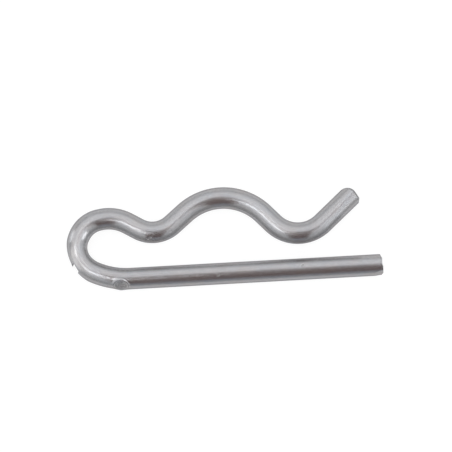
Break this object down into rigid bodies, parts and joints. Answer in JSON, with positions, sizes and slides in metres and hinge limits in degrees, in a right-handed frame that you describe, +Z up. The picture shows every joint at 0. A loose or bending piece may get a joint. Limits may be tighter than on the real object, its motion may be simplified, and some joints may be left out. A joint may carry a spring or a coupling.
{
  "type": "hitch r clip pin",
  "caption": "Spring wire R clip: the straight leg passes through a cross hole in a shaft and the wavy arm snaps over the outside, so that the shaft can't back out.",
  "frame": {"origin": "where the middle line of the straight leg crosses the middle line of the shaft that the clip holds, under the top of the crest", "axes": "+X along the straight leg, towards its cut end; +Y from the leg to the crest; +Z up out of the plane that the wire is bent in, with the clip lying flat"},
  "size_m": [0.0587, 0.018, 0.0041],
  "materials": {
    "zinc_steel": "bright zinc plating with a faint blue tint on drawn spring wire, semi-gloss, with fine draw lines along the wire"
  },
  "bodies": {
    "root": {"clip": "zinc_steel"}
  },
  "joints": []
}
